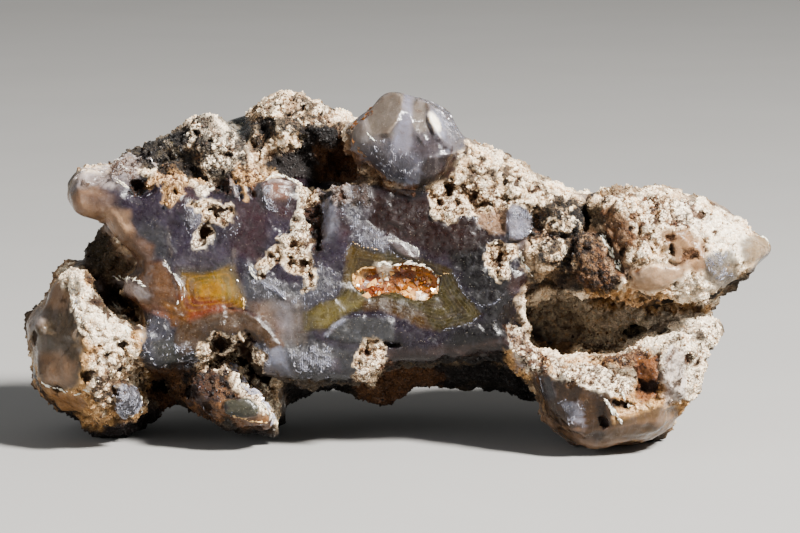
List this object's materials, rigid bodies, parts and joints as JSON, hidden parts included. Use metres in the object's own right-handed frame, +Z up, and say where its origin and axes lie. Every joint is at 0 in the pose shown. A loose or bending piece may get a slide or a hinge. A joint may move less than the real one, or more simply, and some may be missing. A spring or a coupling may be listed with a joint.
{
  "type": "moss agate",
  "caption": "Rough natural moss agate: a pale chalcedony slab with banded ochre patches and a crystal-lined pocket, grown into craggy, crusted rock that stands on its own feet.",
  "frame": {"origin": "centre of the bounding box in X and Y, on the ground that the stone's feet stand on", "axes": "+X along the stone's length to the right of its front view, -Y the front with the slab's face, +Z up"},
  "size_m": [0.1048, 0.0446, 0.0492],
  "materials": {
    "chalcedony_and_rock": "waxy, slightly translucent chalcedony with rough cream and brown crust"
  },
  "bodies": {
    "root": {"moss_agate": "chalcedony_and_rock"}
  },
  "joints": []
}
